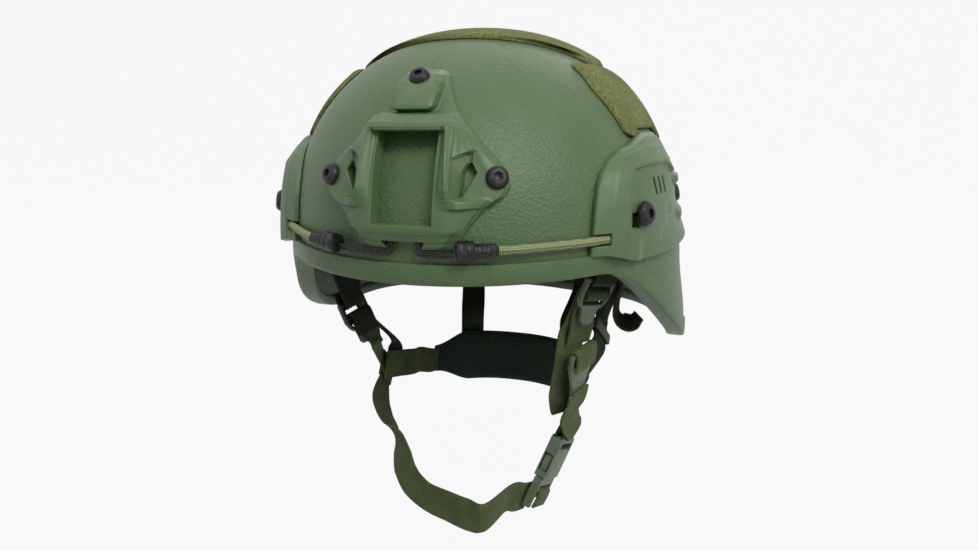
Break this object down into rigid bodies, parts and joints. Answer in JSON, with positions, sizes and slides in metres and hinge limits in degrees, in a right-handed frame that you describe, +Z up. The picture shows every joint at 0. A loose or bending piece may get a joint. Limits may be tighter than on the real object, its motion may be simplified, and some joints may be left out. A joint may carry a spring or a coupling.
{
  "type": "combat helmet",
  "caption": "Ear-covering combat helmet with device shroud, side rails, bungees and a buckled chin strap, held up as on a head.",
  "frame": {"origin": "middle of the flat seat under the crown pad, where the wearer's head carries the helmet", "axes": "+Z up, the brow and shroud face -Y, +X is the wearer's left"},
  "size_m": [0.2668, 0.2903, 0.3036],
  "materials": {
    "shell_paint": "fine pebbled satin green paint",
    "trim_rubber": "satin green rubber edge",
    "loop_fabric": "matte loop pile, yellowish olive",
    "black_metal": "black oxide, satin",
    "bungee_cord": "braided elastic sleeve, light olive",
    "pad_fabric": "matte dark bluish green knit",
    "green_plastic": "moulded grey-green plastic, satin",
    "brown_plastic": "moulded brown plastic",
    "webbing": "woven olive webbing",
    "dark_webbing": "woven dark green webbing"
  },
  "bodies": {
    "helmet": {"shell": "shell_paint", "edge_trim": "trim_rubber", "shroud": "shell_paint", "shroud_screw_top": "black_metal", "shroud_screw_left": "black_metal", "shroud_screw_right": "black_metal", "rail_left": "shell_paint", "rail_right": "shell_paint", "rail_screw_front_left": "black_metal", "rail_screw_front_right": "black_metal", "rail_screw_rear_left": "black_metal", "rail_screw_rear_right": "black_metal", "crown_patch": "loop_fabric", "side_patch_left": "loop_fabric", "side_patch_right": "loop_fabric", "rear_patch": "loop_fabric", "bungee_left": "bungee_cord", "bungee_right": "bungee_cord", "crimp_left": "black_metal", "crimp_right": "black_metal", "hook_left": "black_metal", "hook_right": "black_metal", "crown_pad": "pad_fabric", "front_pad": "pad_fabric", "rear_pad": "pad_fabric", "side_pad_front_left": "pad_fabric", "side_pad_front_right": "pad_fabric", "side_pad_rear_left": "pad_fabric", "side_pad_rear_right": "pad_fabric", "strap_nut_front_left": "black_metal", "strap_nut_front_right": "black_metal", "strap_nut_side_left": "black_metal", "strap_nut_side_right": "black_metal", "strap_nut_rear_left": "black_metal", "strap_nut_rear_right": "black_metal", "front_strap_left": "webbing", "front_strap_right": "webbing", "cheek_strap_left": "webbing", "cheek_strap_right": "webbing", "strap_tail_left": "webbing", "side_strap_left": "dark_webbing", "side_strap_right": "dark_webbing", "triglide_left": "brown_plastic", "slide_left": "green_plastic", "slide_loop_left": "webbing", "rear_strap_left": "dark_webbing", "rear_strap_right": "dark_webbing", "nape_strap_left": "webbing", "nape_strap_right": "webbing", "nape_pad": "pad_fabric", "buckle_strap": "webbing", "buckle_female": "green_plastic", "chin_strap": "webbing"},
    "adjuster_l": {"adjuster_left": "green_plastic", "strap_roll_left": "webbing"},
    "adjuster_r": {"adjuster_right": "green_plastic", "strap_roll_right": "webbing"},
    "buckle_tongue": {"buckle_male": "green_plastic", "buckle_prongs": "green_plastic", "chin_strap_end": "webbing"}
  },
  "joints": [
    {"name": "adjuster_left_tilt", "type": "hinge", "parent": "helmet", "child": "adjuster_l", "pos_m": [0.0825, -0.0547, -0.1111], "axis": [-0.5531, -0.8162, 0.167], "range_deg": [0, 25]},
    {"name": "adjuster_right_tilt", "type": "hinge", "parent": "helmet", "child": "adjuster_r", "pos_m": [-0.079, -0.052, -0.1373], "axis": [0.1024, 0.9934, 0.0512], "range_deg": [0, 25]},
    {"name": "buckle_release", "type": "slide", "parent": "helmet", "child": "buckle_tongue", "axis": [-0.35, -0.352, -0.8681], "range_m": [0, 0.03], "deforming": ["buckle_prongs", "chin_strap"]}
  ]
}
